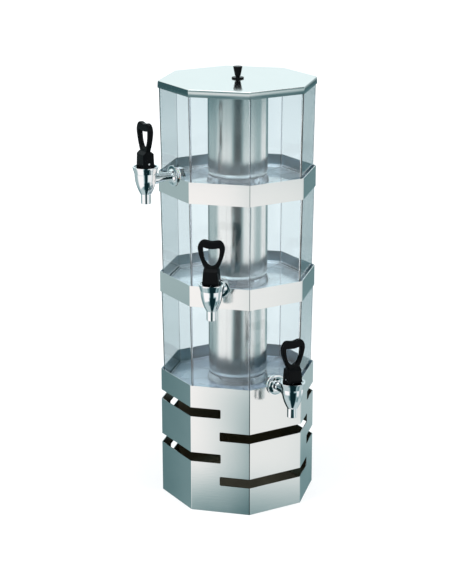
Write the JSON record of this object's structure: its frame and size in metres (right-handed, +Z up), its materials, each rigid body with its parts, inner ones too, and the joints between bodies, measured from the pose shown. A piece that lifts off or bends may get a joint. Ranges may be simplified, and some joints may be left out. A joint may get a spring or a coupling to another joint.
{
  "type": "three-tier juice dispenser",
  "caption": "Tower of clear octagonal juice tanks stacked on a slotted steel base, each cooled by a steel ice tube and drained by a chrome lever tap, under a polished lid.",
  "frame": {"origin": "centre of the octagonal base on the surface it stands on", "axes": "+Z up along the middle of the tower, -Y is the front, the side of the middle tank's tap, and +X is to the right seen from the front"},
  "size_m": [0.2934, 0.3235, 0.7551],
  "materials": {
    "polished_sheet": "bright polished stainless sheet with a faint grain",
    "brushed_tube": "satin stainless tube, brushed along its length",
    "chrome": "bright chrome plate",
    "clear_tank": "clear polycarbonate with a faint blue tint",
    "black_plastic": "moulded black plastic, semi-gloss",
    "silicone": "translucent white silicone",
    "spring_steel": "bright drawn steel"
  },
  "bodies": {
    "base": {"base_skirt": "polished_sheet", "base_deck": "polished_sheet"},
    "lower_tank": {"lower_tank": "clear_tank", "lower_tube_ring": "clear_tank", "lower_tap_body": "chrome", "lower_tap_shank": "chrome", "lower_tap_escutcheon": "chrome", "lower_tap_outer_gasket": "silicone", "lower_tap_inner_gasket": "silicone", "lower_tap_nut": "chrome", "lower_tap_bonnet": "chrome", "lower_tap_spring": "spring_steel"},
    "lower_valve": {"lower_tap_stem": "spring_steel", "lower_tap_cup": "silicone"},
    "lower_lever": {"lower_tap_handle": "black_plastic", "lower_tap_pin": "spring_steel"},
    "lower_tube": {"lower_ice_tube": "brushed_tube"},
    "middle_collar": {"middle_collar": "polished_sheet", "middle_deck": "polished_sheet"},
    "middle_tank": {"middle_tank": "clear_tank", "middle_tube_ring": "clear_tank", "middle_tap_body": "chrome", "middle_tap_shank": "chrome", "middle_tap_escutcheon": "chrome", "middle_tap_outer_gasket": "silicone", "middle_tap_inner_gasket": "silicone", "middle_tap_nut": "chrome", "middle_tap_bonnet": "chrome", "middle_tap_spring": "spring_steel"},
    "middle_valve": {"middle_tap_stem": "spring_steel", "middle_tap_cup": "silicone"},
    "middle_lever": {"middle_tap_handle": "black_plastic", "middle_tap_pin": "spring_steel"},
    "middle_tube": {"middle_ice_tube": "brushed_tube"},
    "upper_collar": {"upper_collar": "polished_sheet", "upper_deck": "polished_sheet"},
    "upper_tank": {"upper_tank": "clear_tank", "upper_tube_ring": "clear_tank", "upper_tap_body": "chrome", "upper_tap_shank": "chrome", "upper_tap_escutcheon": "chrome", "upper_tap_outer_gasket": "silicone", "upper_tap_inner_gasket": "silicone", "upper_tap_nut": "chrome", "upper_tap_bonnet": "chrome", "upper_tap_spring": "spring_steel"},
    "upper_valve": {"upper_tap_stem": "spring_steel", "upper_tap_cup": "silicone"},
    "upper_lever": {"upper_tap_handle": "black_plastic", "upper_tap_pin": "spring_steel"},
    "upper_tube": {"upper_ice_tube": "brushed_tube"},
    "lid": {"lid_pan": "polished_sheet", "lid_seal": "silicone", "lid_knob": "black_plastic", "knob_screw": "spring_steel"}
  },
  "joints": [
    {"name": "lower_tank_lift", "type": "slide", "parent": "base", "child": "lower_tank", "axis": [0, 0, 1], "range_m": [0, 0.06]},
    {"name": "lower_valve_lift", "type": "slide", "parent": "lower_tank", "child": "lower_valve", "axis": [0, 0, 1], "range_m": [0, 0.0028], "deforming": ["lower_tap_spring"]},
    {"name": "lower_lever_tilt", "type": "hinge", "parent": "lower_valve", "child": "lower_lever", "pos_m": [0.12516, -0.12516, 0.2568], "axis": [0.7071, 0.7071, 0], "range_deg": [0, 40], "stiffness_Nm_per_rad": 0.25, "springref_deg": -20.05},
    {"name": "lower_tube_lift", "type": "slide", "parent": "lower_tank", "child": "lower_tube", "axis": [0, 0, 1], "range_m": [0, 0.18]},
    {"name": "middle_collar_lift", "type": "slide", "parent": "lower_tube", "child": "middle_collar", "axis": [0, 0, 1], "range_m": [0, 0.06]},
    {"name": "middle_tank_lift", "type": "slide", "parent": "middle_collar", "child": "middle_tank", "axis": [0, 0, 1], "range_m": [0, 0.06]},
    {"name": "middle_valve_lift", "type": "slide", "parent": "middle_tank", "child": "middle_valve", "axis": [0, 0, 1], "range_m": [0, 0.0028], "deforming": ["middle_tap_spring"]},
    {"name": "middle_lever_tilt", "type": "hinge", "parent": "middle_valve", "child": "middle_lever", "pos_m": [0, -0.177, 0.4337], "axis": [1, 0, 0], "range_deg": [0, 40], "stiffness_Nm_per_rad": 0.25, "springref_deg": -20.05},
    {"name": "middle_tube_lift", "type": "slide", "parent": "middle_tank", "child": "middle_tube", "axis": [0, 0, 1], "range_m": [0, 0.18]},
    {"name": "upper_collar_lift", "type": "slide", "parent": "middle_tube", "child": "upper_collar", "axis": [0, 0, 1], "range_m": [0, 0.06]},
    {"name": "upper_tank_lift", "type": "slide", "parent": "upper_collar", "child": "upper_tank", "axis": [0, 0, 1], "range_m": [0, 0.06]},
    {"name": "upper_valve_lift", "type": "slide", "parent": "upper_tank", "child": "upper_valve", "axis": [0, 0, 1], "range_m": [0, 0.0028], "deforming": ["upper_tap_spring"]},
    {"name": "upper_lever_tilt", "type": "hinge", "parent": "upper_valve", "child": "upper_lever", "pos_m": [-0.12516, -0.12516, 0.6106], "axis": [0.7071, -0.7071, 0], "range_deg": [0, 40], "stiffness_Nm_per_rad": 0.25, "springref_deg": -20.05},
    {"name": "upper_tube_lift", "type": "slide", "parent": "upper_tank", "child": "upper_tube", "axis": [0, 0, 1], "range_m": [0, 0.18]},
    {"name": "lid_lift", "type": "slide", "parent": "upper_tube", "child": "lid", "axis": [0, 0, 1], "range_m": [0, 0.12]}
  ],
  "couplings": [
    {"joint": "lower_valve_lift", "follows": "lower_lever_tilt", "m_per_rad": 0.004},
    {"joint": "middle_valve_lift", "follows": "middle_lever_tilt", "m_per_rad": 0.004},
    {"joint": "upper_valve_lift", "follows": "upper_lever_tilt", "m_per_rad": 0.004}
  ]
}
